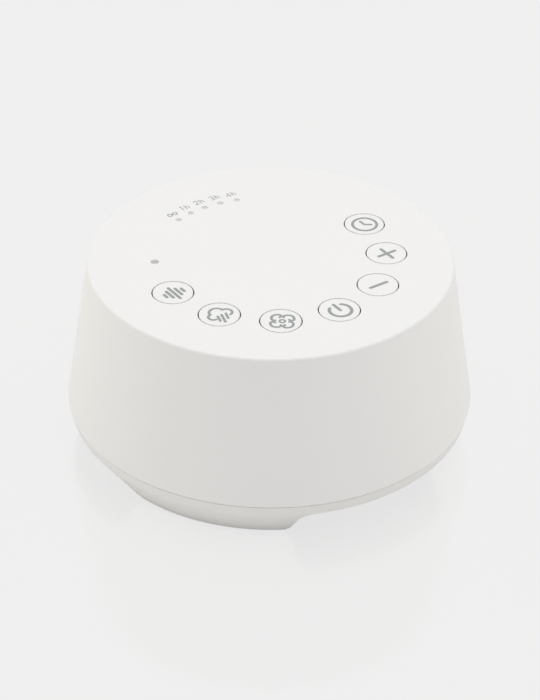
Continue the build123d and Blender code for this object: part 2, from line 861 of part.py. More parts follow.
# ---- Flat leads -------------------------------------------------------------------------------------
with BuildPart() as battery_leads:
    with BuildSketch(radial_plane(battery_angle)):
        with BuildLine():
            Polyline(
                (plug_outer, plug_z + lead_wall),
                (plug_outer, plug_z + 2 * lead_wall),
                (battery_inner - lead_wall / 2, plug_z + 2 * lead_wall),
                (battery_inner - lead_wall / 2, battery_top - lead_wall),
                (battery_inner, battery_top - lead_wall),
                (battery_inner, battery_top - lead_tab),
                (battery_inner - 3 * lead_wall / 2, battery_top - lead_tab),
                (battery_inner - 3 * lead_wall / 2, plug_z + lead_wall),
                close=True,
            )
        make_face()
    extrude(amount=lead_width / 2, both=True)
write(battery_leads, "battery_leads")

terminal_top = flange_z + speaker_sheet + terminal_height
with BuildPart() as speaker_leads:
    with BuildSketch(level_plane(terminal_angle, terminal_offset, terminal_top)):
        Rectangle(lead_wall, lead_width)
    extrude(amount=board_under - terminal_top)
write(speaker_leads, "speaker_leads")

with BuildPart() as socket_leads:
    with BuildSketch(level_plane(back, socket_back + lead_wall, socket_top_z)):
        Rectangle(lead_wall, lead_width)
    extrude(amount=board_under - socket_top_z)
write(socket_leads, "socket_leads")
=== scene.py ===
"""White noise sound machine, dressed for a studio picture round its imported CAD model.

Pieces are built in millimetres in the row frame, and scaled to metres as their meshes are made.
"""

import json
from math import atan2, cos, degrees, hypot, pi, radians, sin, sqrt, tan

import bmesh
import bpy
from mathutils import Euler, Matrix, Vector
from mathutils.geometry import delaunay_2d_cdt


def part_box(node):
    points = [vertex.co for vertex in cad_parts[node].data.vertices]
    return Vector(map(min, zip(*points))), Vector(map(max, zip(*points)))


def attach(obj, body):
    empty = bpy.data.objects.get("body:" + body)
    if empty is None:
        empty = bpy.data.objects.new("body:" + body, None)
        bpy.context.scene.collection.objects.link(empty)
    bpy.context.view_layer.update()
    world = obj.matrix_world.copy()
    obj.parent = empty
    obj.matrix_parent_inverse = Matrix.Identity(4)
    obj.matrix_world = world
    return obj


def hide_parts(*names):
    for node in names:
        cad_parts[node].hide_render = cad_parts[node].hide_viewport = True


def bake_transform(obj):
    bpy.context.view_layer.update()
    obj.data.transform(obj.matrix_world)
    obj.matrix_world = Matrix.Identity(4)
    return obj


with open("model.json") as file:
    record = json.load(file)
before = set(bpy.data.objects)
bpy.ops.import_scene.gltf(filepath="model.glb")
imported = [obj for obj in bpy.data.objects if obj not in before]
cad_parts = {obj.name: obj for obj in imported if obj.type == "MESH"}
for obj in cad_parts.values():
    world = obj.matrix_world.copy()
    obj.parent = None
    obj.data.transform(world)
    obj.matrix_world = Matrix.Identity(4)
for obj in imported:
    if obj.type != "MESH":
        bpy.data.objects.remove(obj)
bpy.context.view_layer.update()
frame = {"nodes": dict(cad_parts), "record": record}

MM = 0.001


def cad_box(node):
    """Lowest and highest corner of a CAD node, in millimetres."""
    low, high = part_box(node)
    return low / MM, high / MM


# ---- Sizes, in millimetres and degrees ----
housing_low, housing_high = cad_box("top_housing")
guide_low, guide_high = cad_box("timer_light_guide")
status_low, status_high = cad_box("status_light_guide")
screws_low, screws_high = cad_box("housing_screws")
inlet_board_low, inlet_board_high = cad_box("socket_board")
surround_low, surround_high = cad_box("speaker_surround")
base_low = cad_box("base")[0]
board_high = cad_box("control_board")[1]
pads_high = cad_box("foot_pads")[1]
diaphragm_high = cad_box("speaker_diaphragm")[1]

big_sides = 288  # of the housing and the base
opening_sides = 96  # of the caps and their openings
small_sides = 48  # of windows, bosses, wells and screws
bend_steps = 8  # in the larger rounded edges
block_steps = 24  # in the curved sides of cutters
front = -90.0
back = 90.0
seat_clearance = 0.1  # free play where one piece sits in another
cut_past = 1.0  # how far a cutter goes past what it cuts
hair = 0.01  # allowed when a place is tested against a size

seam_z = housing_low.z
top_z = housing_high.z
seam_radius = housing_high.x
housing_lean = 7.0  # how far the side leans in over the housing's height
side_wall = 2.2
panel_wall = 2.4
top_round = 0.7
seam_round = 0.15
seam_steps = 3
ink_depth = 0.02  # the printed marks reach the top plane, and the plastic lies this far below it
face_z = top_z - ink_depth
panel_z = top_z - panel_wall

functions = ["white_noise", "rain", "fan", "power", "volume_down", "volume_up", "timer"]
button_radius = 5.76
opening_radius = 6.1
button_round = 0.1
button_round_steps = 5
opening_round = 0.06
small_round_steps = 4  # in the rounded edges of holes and pegs
button_roof = 2.0
button_rib = 1.4
rib_inset = 0.02
lug_reach = 0.8
lug_height = 0.9
lug_play = 0.12
post_width = 3.0
switch_height = 5.0
stem_top = board_high.z + switch_height
collar_radius = 7.8
collar_depth = 2.6
collar_z = panel_z - collar_depth

window_ring = 34.3
window_pitch = 8.85
window_count = 5
window_radius = 0.95
window_round = 0.08
status_ring = 33.5
status_angle = 150.0
status_radius = 1.25
status_flange = 4.0
status_pipe = 2.0
guide_fit = 0.04
peg_round = 0.15

screw_radius = 1.4
head_radius = 2.7
head_height = 1.9
dome_rise = 0.7
dome_steps = 6
slot_reach = 1.3
slot_half = 0.3
slot_depth = 1.1
thread_pitch = 1.1
thread_depth = 0.3
shank_length = 1.0  # between the head and the first turn of the thread
tip_length = 1.0
tip_radius = 0.3
well_radius = 3.3
well_wall = 1.6
well_roof = 2.0
well_seat = screws_low.z + head_height

foot_count = 3
boss_ring = 48.0
boss_radius = 4.0
boss_bottom = well_seat + well_roof
pilot_radius = 1.42
pilot_depth = 14.0
gusset_rise = 3.0
gusset_low = seam_z + gusset_rise
board_boss_inset = 2.7
board_boss_ring = board_high.y - board_boss_inset
board_boss_radius = 2.6
board_boss_count = 4
spoke_count = 6
spoke_inner = 14.0
spoke_outer = 24.0
spoke_wall = 1.2
spoke_depth = 3.0

port_face = 58.2
port_height = 20.0
port_recess_width = 14.0
port_recess_height = 7.6
port_width = 8.94
port_thick = 3.26
port_gap = 0.25
inlet_post = 4.0
inlet_post_spacing = 14.0
inlet_post_inset = 7.0
inlet_post_y = inlet_board_high.y - inlet_post_inset

lip_z = 10.0
floor_z = 12.0
foot_z = base_low.z
seam_gap = 0.2
seam_reach = 0.1  # the seam's painted light begins this far inside the tongue's outer wall
skirt_z = seam_z - seam_gap
skirt_radius = 59.8
skirt_lean = 0.7
foot_lean = 6.6
foot_width = 7.5
foot_wall = 2.0
slanted_wall = 1.2 * foot_wall
bend_round = 6.0
toe_edge = 0.25
front_foot_turn = 5.6  # each front foot stands this much nearer the front than a third
gap_half = 25.5
side_gap_half = 32.5
gap_start = 24.0
toe_round = 2.0
toe_length = 4.0
crown_round = 3.0
foot_edge = 0.5
foot_edge_steps = 3
foot_edge_reach = 0.2  # a rounded edge lies this near the outer face
foot_edge_lean = 0.6  # one of its faces points outward by less, the other by more
pocket_half_angle = 15.5
tongue_height = 2.5
tongue_wall = 1.3
tongue_z = seam_z + tongue_height
lip_radius = skirt_radius - skirt_lean
foot_radius = lip_radius - foot_lean
foot_inner_radius = foot_radius - foot_width
pad_width = 4.6
pads_outer = pads_high.y
pads_inner = pads_outer - pad_width
pad_half_angle = 21.0

battery_angle = 30.0
battery_boss_gap = 10.6
battery_offset = boss_ring - battery_boss_gap
cradle_width = 7.6
cradle_wall = 1.2
cradle_length = 40.2
cradle_height = 8.0
speaker_fence_gap = 3.9
speaker_corner = 9.0
speaker_half = battery_offset - cradle_width / 2 - cradle_wall - speaker_fence_gap
rim_inset = 1.5
rim_side = 2 * speaker_half - 2 * rim_inset
rim_wall = 2.0
rim_height = 2.2
rim_top = floor_z + rim_height
post_count = 4
post_side = 5.0
post_inset = 3.9
post_ring = (2 * speaker_half - speaker_corner) / sqrt(2) - post_inset
speaker_sides = 24
surround_sheet = 0.5
surround_steps = 10
grille_count = 9
grille_slot = 2.4
grille_inset = 4.0
grille_radius = rim_side / 2 - grille_inset
grille_step = 2 * grille_radius / (grille_count + 1)

# Painted light and shade in the narrow gaps: a pale warm colour stands in for light carried into
# them, and below gap_shade_top it is painted darker towards near black, as shade.
gap_painted_light_color = (0.97, 0.93, 0.86)
gap_painted_shade_color = (0.03, 0.015, 0.006)
gap_shade_top = face_z - 0.42
gap_shade_reach = 0.3
gap_shade_floor = 2 * seam_z  # below it the gaps get only the pale painted light, with no painted shade
gap_roughness = 0.5
gap_gloss_spread = 0.1

table_side = 6000.0
table_color = 0.863
table_bounce = (0.83, 0.82, 0.79)
table_evenness = 0.95
table_gloss = 0.1
table_roughness = 0.12
camera_lens = 131.2
camera_sensor = 36.0
camera_nearest = 10.0
camera_azimuth = -35.13
camera_elevation = 33.68
camera_roll = 0.56
camera_distance = 755.5
camera_target_z = 26.9
camera_target_side = 0.07
white = (1.0, 1.0, 1.0)
lamp_spread = 60.0
side_light_turn = 112.0  # from the camera, either way
lamps = [  # name, strength, elevation, azimuth, colour
    ("top_light", 0.291, 80.0, 20.0, white),
    ("left_light", 0.294, 20.0, camera_azimuth - side_light_turn, (1.0, 0.96, 0.81)),
    ("right_light", 0.171, 20.0, camera_azimuth + side_light_turn, (1.0, 0.965, 0.835)),
]
world_strength = 0.58
white_strength = 0.93


def housing_radius(height):
    """Outer radius of the conical side at a height."""
    return seam_radius - housing_lean * (height - seam_z) / (top_z - seam_z)


def foot_outer(height):
    """Outer radius of a foot at a height."""
    return foot_radius + foot_lean * height / lip_z


def polar(radius, angle):
    """Point on the level plane at a radius and an angle in degrees."""
    return (radius * cos(radians(angle)), radius * sin(radians(angle)))


tongue_radius = housing_radius(tongue_z) - side_wall - seat_clearance
tongue_inner = tongue_radius - tongue_wall
front_foot_angle = 360 / foot_count + front_foot_turn
foot_angles = [back, back + front_foot_angle, back - front_foot_angle]
side_gap_angle = front_foot_angle / 2
gaps = [
    (front, gap_half),
    (back + side_gap_angle, side_gap_half),
    (back - side_gap_angle, side_gap_half),
]
screw_angles = [front + index * 360 / foot_count for index in range(foot_count)]
first_window = back + window_pitch * (window_count - 1) / 2
window_centres = [
    polar(window_ring, first_window - index * window_pitch) for index in range(window_count)
]
status_centre = polar(status_ring, status_angle)
button_centres = []
for function in functions:
    low, high = cad_box("button_" + function)
    button_centres.append(((low.x + high.x) / 2, (low.y + high.y) / 2))


# ---- Node graphs ----
grain_scale = 900.0  # repeats in a metre
blotch_scale = 35.0
gloss_spread = 0.12
weave_scale = 500.0
weave_depth = 1e-4  # in metres
weave_painted_shade = 0.4  # painted shade between the threads, as a share of the colour
weave_roughness = 0.9
first_color, second_color, color_result = 6, 7, 2  # the Mix node's sockets for colours


class Value:
    """A number in a node graph that can be added, multiplied and so on."""

    def __init__(self, graph, socket):
        self.graph = graph
        self.socket = socket

    def maths(self, operation, first, second):
        return self.graph.node("ShaderNodeMath", {0: first, 1: second}, operation=operation)

    def __add__(self, other):
        return self.maths("ADD", self, other)

    __radd__ = __add__

    def __sub__(self, other):
        return self.maths("SUBTRACT", self, other)

    def __rsub__(self, other):
        return self.maths("SUBTRACT", other, self)

    def __mul__(self, other):
        return self.maths("MULTIPLY", self, other)

    __rmul__ = __mul__

    def at_least(self, other):
        return self.maths("MAXIMUM", self, other)

    def is_above(self, other):
        return self.maths("GREATER_THAN", self, other)


class Graph:
    """A node tree whose nodes are made by one method."""

    def __init__(self, tree):
        self.tree = tree
        tree.nodes.clear()

    def node(self, kind, inputs=None, output=0, **settings):
        """Makes a node, sets it up, then fills its sockets with numbers or links."""
        made = self.tree.nodes.new(kind)
        for name, value in settings.items():
            setattr(made, name, value)
        for name, value in (inputs or {}).items():
            if isinstance(value, Value):
                self.tree.links.new(value.socket, made.inputs[name])
            else:
                made.inputs[name].default_value = value
        return Value(self, made.outputs[output]) if made.outputs else made

    def place(self):
        """Position on the piece, in metres."""
        return self.node("ShaderNodeTexCoord", output="Object")

    def noise(self, scale, detail=2.0):
        """Soft noise over the piece, scale in repeats per metre."""
        inputs = {"Vector": self.place(), "Scale": scale, "Detail": detail}
        return self.node("ShaderNodeTexNoise", inputs)

    def blend(self, factor, first, second):
        """Colour between two colours."""
        inputs = {"Factor": factor, first_color: (*first, 1.0), second_color: (*second, 1.0)}
        return self.node("ShaderNodeMix", inputs, color_result, data_type="RGBA")

    def ray(self, kind):
        """Whether the ray that meets the surface is of a kind."""
        return self.node("ShaderNodeLightPath", output="Is " + kind + " Ray")

    def bump(self, height, distance):
        """Surface direction over small heights, distance in metres."""
        return self.node("ShaderNodeBump", {"Height": height, "Distance": distance})

    def show(self, surface):
        """Ends a material's graph in a shader."""
        self.node("ShaderNodeOutputMaterial", {"Surface": surface})

    def show_principled(self, inputs):
        """Ends a material's graph in the usual shader."""
        self.show(self.node("ShaderNodeBsdfPrincipled", inputs))


def new_material(name):
    """A material, with the empty graph of its nodes."""
    material = bpy.data.materials.new(name)
    material.use_nodes = True
    return material, Graph(material.node_tree)


def shade(color, factor):
    """The same colour, lighter or darker."""
    return tuple(min(1.0, channel * factor) for channel in color)


def finish(
    name, color, roughness, metallic=0.0, grain=grain_scale, grain_depth=1e-5, spread=0.03, **extra
):
    """A material with a little uneven colour, uneven gloss and a fine grain."""
    material, graph = new_material(name)
    broad = graph.noise(blotch_scale)
    fine = graph.noise(grain, detail=4.0)
    inputs = {
        "Base Color": graph.blend(broad, shade(color, 1 - spread), shade(color, 1 + spread)),
        "Roughness": fine * gloss_spread + (roughness - gloss_spread / 2),
        "Metallic": metallic,
        "Normal": graph.bump(fine, grain_depth),
    }
    graph.show_principled({**inputs, **extra})
    return material


def painted_gap_light_and_shade(name, color, painted_dark_color):
    """Painted light in the gaps, darkened further down round the keys as painted shade, even along
    the seam.
    """
    material, graph = new_material(name)
    height = graph.node("ShaderNodeSeparateXYZ", {0: graph.place()}, output="Z")
    # painted shade: darker the further below gap_shade_top, and none below the seam's height floor
    depth = (gap_shade_top * MM - height) * (1 / (gap_shade_reach * MM))
    above_seam = height.is_above(gap_shade_floor * MM)
    inputs = {
        "Base Color": graph.blend(depth * above_seam, color, painted_dark_color),
        "Roughness": graph.noise(grain_scale) * gap_gloss_spread + gap_roughness,
    }
    graph.show_principled(inputs)
    return material


def woven(name, color):
    """Dark acoustic cloth with crossing threads, painted darker between them as shade."""
    material, graph = new_material(name)
    inputs = {"Vector": graph.place(), "Scale": weave_scale}
    threads = [
        graph.node(
            "ShaderNodeTexWave", inputs, output=1, wave_type="BANDS", bands_direction=direction
        )
        for direction in ("X", "Y")
    ]
    weave = threads[0] * threads[1]
    inputs = {
        "Base Color": graph.blend(weave, shade(color, weave_painted_shade), color),
        "Roughness": weave_roughness,
        "Normal": graph.bump(weave, weave_depth),
    }
    graph.show_principled(inputs)
    return material


moulded = {"grain_depth": 4e-6, "spread": 0.006, "Specular IOR Level": 0.3}
touched = {**moulded, "grain_depth": 3e-6}
foamed = {"grain": 2500.0, "grain_depth": 8e-5, "spread": 0.3}
materials = {
    "white_shell": finish("satin_white_plastic", (0.86, 0.858, 0.864), 0.5, **moulded),
    "white_keys": finish("satin_white_key", (0.862, 0.86, 0.866), 0.48, **touched),
    "stem_plastic": finish("natural_nylon", (0.7, 0.66, 0.58), 0.5),
    "pad_rubber": finish("grey_rubber", (0.42, 0.41, 0.38), 0.75, grain=1500.0),
    "screw_steel": finish("zinc_plated_steel", (0.6, 0.6, 0.61), 0.3, metallic=1.0),
    "board_laminate": finish("solder_mask", (0.02, 0.16, 0.07), 0.35, spread=0.15),
    "switch_steel": finish("switch_cover", (0.6, 0.6, 0.62), 0.35, metallic=1.0),
    "light_guide": finish("milky_guide", (0.7, 0.675, 0.65), 0.4, grain_depth=2e-6),
    "black_plastic": finish("black_plastic", (0.015, 0.015, 0.016), 0.5, spread=0.2),
    "lamp_resin": finish("lamp_resin", (0.8, 0.74, 0.45), 0.25),
    "capacitor_can": finish("capacitor_can", (0.75, 0.75, 0.77), 0.3, metallic=1.0),
    "socket_steel": finish("stainless_shell", (0.62, 0.62, 0.62), 0.28, metallic=1.0),
    "speaker_steel": finish("black_lacquer", (0.012, 0.012, 0.013), 0.35, spread=0.2),
    "magnet_ferrite": finish("ferrite", (0.05, 0.05, 0.052), 0.6, spread=0.2),
    "diaphragm_fibre": finish("black_fibre", (0.02, 0.02, 0.02), 0.8, spread=0.3),
    "surround_rubber": finish("black_rubber", (0.012, 0.012, 0.012), 0.6, spread=0.2),
    "foam": finish("foam", (0.03, 0.03, 0.03), 0.95, **foamed),
    "cloth": woven("acoustic_cloth", (0.03, 0.03, 0.032)),
    "cell_wrap": finish("cell_film", (0.45, 0.47, 0.5), 0.35, spread=0.05),
    "connector_plastic": finish("cream_connector", (0.78, 0.74, 0.62), 0.45),
    "lead_sleeve": finish("lead_sleeve", (0.02, 0.02, 0.02), 0.55, spread=0.2),
    "key_ink": finish("grey_ink", (0.32, 0.347, 0.347), 0.5, spread=0.02),
    "gap_shade": painted_gap_light_and_shade("painted_light_and_shade_in_gaps", gap_painted_light_color, gap_painted_shade_color),
}

for subpart in frame["record"]["subparts"]:
    mesh = frame["nodes"][subpart["node"]].data
    mesh.materials.clear()
    mesh.materials.append(materials[subpart["material_slot"]])


# ---- Meshes ----
sharp_angle = radians(35)
flat_angle = radians(1)
normal_weight = 100
weld = 1e-5
cutter_weld = 1e-4
sliver = 1e-3


def add_object(name, data):
    """A new object in the scene."""
    added = bpy.data.objects.new(name, data)
    bpy.context.scene.collection.objects.link(added)
    return added


def mesh_object(name, built):
    """A new object that takes over a bmesh."""
    mesh = bpy.data.meshes.new(name)
    built.to_mesh(mesh)
    built.free()
    return add_object(name, mesh)


def make_piece(name, built, finish_name, body, replaced=(), in_gap=None):
    """Turns a bmesh in millimetres into a shaded piece that rides on a CAD body, if it has one."""
    bmesh.ops.remove_doubles(built, verts=built.verts, dist=weld)
    bmesh.ops.recalc_face_normals(built, faces=built.faces)
    for face in built.faces:
        face.smooth = True
        # faces in the gaps take the second material, with its painted light and shade
        if in_gap and in_gap(face.calc_center_median()):
            face.material_index = 1
    for edge in built.edges:
        edge.smooth = edge.calc_face_angle(0.0) < sharp_angle
    bmesh.ops.scale(built, vec=(MM, MM, MM), verts=built.verts)
    piece = mesh_object(name, built)
    piece.data.materials.append(materials[finish_name])
    if in_gap:
        piece.data.materials.append(materials["gap_shade"])
    modifier = piece.modifiers.new("weighted_normals", "WEIGHTED_NORMAL")
    modifier.keep_sharp = True
    modifier.weight = normal_weight
    if body:
        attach(piece, body)
    if replaced:
        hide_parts(*replaced)
    return piece


def arc(centre, radius, start, end, steps):
    """Points on an arc between two angles in degrees."""
    made = []
    for index in range(steps + 1):
        angle = radians(start + (end - start) * index / steps)
        made.append((centre[0] + radius * cos(angle), centre[1] + radius * sin(angle)))
    return made


def rectangle(width, depth, x=0.0, y=0.0):
    """Outline of a rectangle about a point."""
    right = width / 2
    far = depth / 2
    return [(x - right, y - far), (x + right, y - far), (x + right, y + far), (x - right, y + far)]


def circle(centre, radius, sides):
    """Points evenly round a centre."""
    return arc(centre, radius, 0, 360, sides)[:-1]


def bridge(built, first, second):
    """Quads between two loops of the same length."""
    count = len(first)
    for index in range(count):
        after = (index + 1) % count
        built.faces.new((first[index], first[after], second[after], second[index]))


def close_ends(built, first, last):
    """A face in each of two loops."""
    built.faces.new(first[::-1])
    built.faces.new(last)


def block(built, first, last):
    """A solid between two loops of places."""
    ends = [[built.verts.new(place) for place in places] for places in (first, last)]
    bridge(built, *ends)
    close_ends(built, *ends)


def lathe(built, centre, profile, sides, closed=False):
    """Rings at each (radius, height) of a profile, joined by quads. Gives back all the loops."""
    loops = []
    for radius, height in profile:
        places = circle(centre, radius, sides)
        loops.append([built.verts.new((x, y, height)) for x, y in places])
    for first, second in zip(loops, loops[1:]):
        bridge(built, first, second)
    if closed:
        bridge(built, loops[-1], loops[0])
    return loops


def turned_solid(built, centre, profile, sides):
    """A turned shape with a face across each end of its profile."""
    loops = lathe(built, centre, profile, sides)
    close_ends(built, loops[0], loops[-1])


def prism(built, outline, bottom, top, turn=0.0):
    """An upright block over a level outline, turned about the axis."""
    spin = Matrix.Rotation(radians(turn), 2)
    places = [spin @ Vector(point) for point in outline]
    block(built, *([(place.x, place.y, height) for place in places] for height in (bottom, top)))


def ring_segment(built, section, middle, half_angle):
    """Part of a turned shape, between two angles, with closed ends."""
    cuts = []
    for index in range(block_steps + 1):
        angle = middle - half_angle + 2 * half_angle * index / block_steps
        places = [(*polar(radius, angle), height) for radius, height in section]
        cuts.append([built.verts.new(place) for place in places])
    for first, second in zip(cuts, cuts[1:]):
        bridge(built, first, second)
    close_ends(built, cuts[0], cuts[-1])


def loop_edges(built, loop):
    """The edges between neighbours of a loop."""
    pairs = zip(loop, loop[1:] + loop[:1])
    return [built.edges.get(pair) or built.edges.new(pair) for pair in pairs]


def fill_flat(built, loops, up):
    """Fills a level face between an outer loop and its holes."""
    edges = [edge for loop in loops for edge in loop_edges(built, loop)]
    bmesh.ops.triangle_fill(built, edges=edges, use_beauty=True, normal=(0, 0, up))


def rounded_hole(built, centre, radius, rounding, bottom, sides):
    """A hole down from the top face with a rounded rim. Gives back its top and bottom loops."""
    rim = arc((radius + rounding, face_z - rounding), rounding, 90, 180, small_round_steps)
    loops = lathe(built, centre, rim + [(radius, bottom)], sides)
    return loops[0], loops[-1]


def hold(name, built):
    """A passing object that holds a mesh in millimetres for a cut."""
    bmesh.ops.remove_doubles(built, verts=built.verts, dist=cutter_weld)
    bmesh.ops.recalc_face_normals(built, faces=built.faces)
    return mesh_object(name, built)


def carve(built, *cutters):
    """Cuts each of the cutters away in turn. Gives back a new bmesh."""
    blank = hold("blank", built)
    tools = []
    for cutter in cutters:
        tools.append(hold("cutter", cutter))
        modifier = blank.modifiers.new("cut", "BOOLEAN")
        modifier.operation = "DIFFERENCE"
        modifier.solver = "EXACT"
        modifier.object = tools[-1]
    bpy.context.view_layer.update()
    finished = blank.evaluated_get(bpy.context.evaluated_depsgraph_get()).to_mesh()
    carved = bmesh.new()
    carved.from_mesh(finished)
    bmesh.ops.dissolve_degenerate(carved, dist=sliver, edges=carved.edges)
    for held in [blank] + tools:
        bpy.data.objects.remove(held)
    return carved


# ---- Housing ----
def inlet_cutter(width, height, near):
    """A flat-sided oval block that runs back from a depth to well outside, in its own bmesh."""
    built = bmesh.new()
    radius = height / 2
    reach = width / 2 - radius
    outline = arc((reach, port_height), radius, -90, 90, block_steps)
    outline += arc((-reach, port_height), radius, 90, 270, block_steps)
    block(built, *([(x, depth, z) for x, z in outline] for depth in (near, 2 * seam_radius)))
    return built


def build_housing():
    """The conical shell with its flat top, openings, collars, bosses, spokes and inlet recess."""
    built = bmesh.new()
    slope = atan2(housing_lean, top_z - seam_z)
    edge_centre = housing_radius(face_z) + top_round * tan(slope) - top_round / cos(slope)
    outer = [(seam_radius - side_wall, seam_z), (seam_radius - seam_round, seam_z)]
    outer += [(housing_radius(seam_z + seam_round), seam_z + seam_round)]
    outer += arc((edge_centre, face_z - top_round), top_round, degrees(slope), 90, bend_steps)
    inner = [(seam_radius - side_wall, seam_z), (housing_radius(panel_z) - side_wall, panel_z)]
    top_loop = lathe(built, (0, 0), outer, big_sides)[-1]
    inner_loop = lathe(built, (0, 0), inner, big_sides)[-1]
    top_holes = []
    under_holes = []
    for centre in button_centres:
        rim, low = rounded_hole(
            built, centre, opening_radius, opening_round, collar_z, opening_sides
        )
        wall = [(collar_radius, collar_z), (collar_radius, panel_z)]
        collar = lathe(built, centre, wall, opening_sides)
        bridge(built, low, collar[0])
        top_holes.append(rim)
        under_holes.append(collar[1])
    for centre in window_centres + [status_centre]:
        radius = status_radius if centre is status_centre else window_radius
        rim, low = rounded_hole(built, centre, radius, window_round, panel_z, small_sides)
        top_holes.append(rim)
        under_holes.append(low)
    fill_flat(built, [top_loop] + top_holes, 1)
    fill_flat(built, [inner_loop] + under_holes, -1)
    recess = inlet_cutter(port_recess_width, port_recess_height, port_face)
    slot_size = (port_width + 2 * port_gap, port_thick + 2 * port_gap)
    carved = carve(built, recess, inlet_cutter(*slot_size, port_face - 2 * side_wall))
    for index in range(board_boss_count):
        centre = polar(board_boss_ring, (index + 0.5) * 360 / board_boss_count)
        wall = [(board_boss_radius, board_high.z), (board_boss_radius, panel_z)]
        turned_solid(carved, centre, wall, small_sides)
    for turn in screw_angles:
        build_long_boss(carved, turn)
    for index in range(spoke_count):
        middle = (spoke_outer + spoke_inner) / 2
        outline = rectangle(spoke_outer - spoke_inner, spoke_wall, middle)
        turn = front + (index + 0.5) * 360 / spoke_count
        prism(carved, outline, panel_z - spoke_depth, panel_z, turn)
    return carved


def build_long_boss(built, turn):
    """A boss for one of the long screws, with the gusset that ties it to the wall."""
    profile = [
        (boss_radius, panel_z),
        (boss_radius, boss_bottom),
        (pilot_radius, boss_bottom),
        (pilot_radius, boss_bottom + pilot_depth),
    ]
    turned_solid(built, polar(boss_ring, turn), profile, small_sides)
    section = [
        (boss_ring, gusset_low),
        (housing_radius(gusset_low) - side_wall / 2, gusset_low),
        (housing_radius(panel_z) - side_wall / 2, panel_z),
        (boss_ring, panel_z),
    ]
    spin = Matrix.Rotation(radians(turn), 3, "Z")
    sides = []
    for half in (-spoke_wall / 2, spoke_wall / 2):
        sides.append([spin @ Vector((radius, half, height)) for radius, height in section])
    block(built, *sides)


def is_inside(place, centres, radius):
    """Whether a place lies within a radius of one of the centres, seen from above."""
    return any(hypot(place.x - x, place.y - y) < radius + hair for x, y in centres)


def in_housing_gap(place):
    """Whether a place on the housing is on an opening's wall or on the lower edge, where the gaps'
    painted light and shade go.
    """
    if place.z < seam_z + seam_round / 4:
        return True
    if place.z < face_z - opening_round and is_inside(place, button_centres, opening_radius):
        return True
    in_window = is_inside(place, window_centres, window_radius)
    return in_window and panel_z < place.z < face_z - window_round


make_piece(
    "housing_shell", build_housing(), "white_shell", "housing", ["top_housing"], in_housing_gap
)


# ---- Base ----
def arch_outline(half):
    """Outline of the gap between two feet, seen from outside: across, and up."""
    toe = (half + toe_round, foot_z + toe_round)
    crown = (half - crown_round, lip_z - crown_round)
    right = [(half + toe_length, -lip_z), (half + toe_length, foot_z)]
    right += arc(toe, toe_round, -90, -180, bend_steps)
    right += arc(crown, crown_round, 0, 90, bend_steps)
    left = [(-across, height) for across, height in right]
    return right + left[::-1]


def build_gaps():
    """The three arched gaps, as blocks from inside the ring of feet to well outside it."""
    built = bmesh.new()
    for angle, half in gaps:
        outline = arch_outline(half)
        spin = Matrix.Rotation(radians(angle), 3, "Z")
        ends = []
        for reach in (gap_start, 2 * seam_radius):
            ends.append([spin @ Vector((reach, across, height)) for across, height in outline])
        block(built, *ends)
    return built


def build_pockets():
    """The hollows inside the feet, open upward into the base."""
    built = bmesh.new()
    inner = foot_inner_radius + foot_wall
    low = foot_z + foot_wall
    section = [
        (inner, low),
        (foot_outer(low) - slanted_wall, low),
        (tongue_inner, lip_z),
        (tongue_inner, floor_z + cut_past),
        (inner, floor_z + cut_past),
    ]
    for angle in foot_angles:
        ring_segment(built, section, angle, pocket_half_angle)
    return built


def build_floor_cuts():
    """Grille slots, screw wells and pad grooves."""
    built = bmesh.new()
    low = lip_z - cut_past
    high = floor_z + cut_past
    for index in range(grille_count):
        x = (index - (grille_count - 1) / 2) * grille_step
        half = grille_slot / 2
        outline = []
        for side in (1, -1):
            for edge in (x + half * side, x - half * side):
                outline.append((edge, side * sqrt(grille_radius**2 - edge**2)))
        prism(built, outline, low, high)
    for angle in screw_angles:
        prism(built, circle(polar(boss_ring, angle), well_radius, small_sides), low, high)
    section = [
        (pads_inner - seat_clearance, -cut_past),
        (pads_outer + seat_clearance, -cut_past),
        (pads_outer + seat_clearance, pads_high.z),
        (pads_inner - seat_clearance, pads_high.z),
    ]
    for angle in foot_angles:
        ring_segment(built, section, angle, pad_half_angle)
    return built


def cut_square(side):
    """Outline of a square with its corners cut, as the speaker's are."""
    half = side / 2
    flat = half - speaker_corner
    near = [(half, -flat), (half, flat), (flat, half), (-flat, half)]
    return near + [(-x, -y) for x, y in near]


def wall_round(built, outer, inner, bottom, top, offset=0.0):
    """A low wall between two level outlines, square to the battery."""
    spin = Matrix.Rotation(radians(battery_angle), 2)
    shift = Vector(polar(offset, battery_angle))
    loops = []
    for outline, height in ((outer, bottom), (outer, top), (inner, top), (inner, bottom)):
        places = [spin @ Vector(point) + shift for point in outline]
        loops.append([built.verts.new((place.x, place.y, height)) for place in places])
    for first, second in zip(loops, loops[1:] + loops[:1]):
        bridge(built, first, second)


def ease_foot_ends(built):
    """Rounds the feet's outer corners beside the gaps."""
    chosen = []
    for edge in built.edges:
        middle = (edge.verts[0].co + edge.verts[1].co) / 2
        beside_gap = foot_z + hair < middle.z < lip_z - crown_round / 2
        if len(edge.link_faces) != 2 or not beside_gap:
            continue
        outward = Vector((middle.x, middle.y, 0)).normalized()
        across, along = sorted(face.normal.dot(outward) for face in edge.link_faces)
        outermost = middle.xy.length > foot_outer(middle.z) - foot_edge_reach
        if outermost and across < foot_edge_lean < along:
            chosen.append(edge)
    settings = {"offset": foot_edge, "segments": foot_edge_steps, "profile": 0.5}
    bmesh.ops.bevel(built, geom=chosen, affect="EDGES", clamp_overlap=True, **settings)


